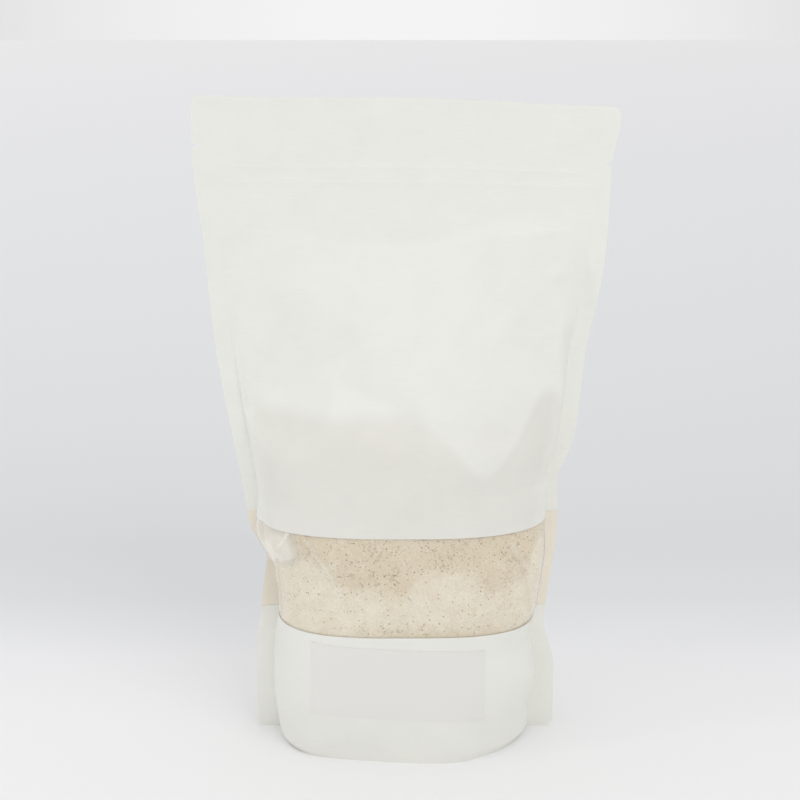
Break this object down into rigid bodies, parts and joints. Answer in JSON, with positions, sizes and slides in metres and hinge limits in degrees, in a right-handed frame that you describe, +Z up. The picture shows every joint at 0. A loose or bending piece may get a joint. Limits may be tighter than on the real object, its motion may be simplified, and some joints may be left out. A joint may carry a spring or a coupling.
{
  "type": "bag of flour",
  "caption": "Stand-up pouch of flour: paper-faced bag with side seals, press-to-close strip, clear window band and bare sticker.",
  "frame": {"origin": "under the middle of the whole bag, on the surface it stands on", "axes": "+Z up, -Y out of the front panel with the window, +X to the right seen from the front"},
  "size_m": [0.2, 0.0946, 0.3152],
  "materials": {
    "paper": "white fibrous paper laminated to film, matt",
    "flour": "creamy fine powder with brown specks",
    "film": "clear glossy film, lightly wrinkled",
    "sticker": "plain white sticker, smooth and satin"
  },
  "bodies": {
    "root": {"pouch": "paper", "flour": "flour", "window_film": "film", "label": "sticker"}
  },
  "joints": []
}
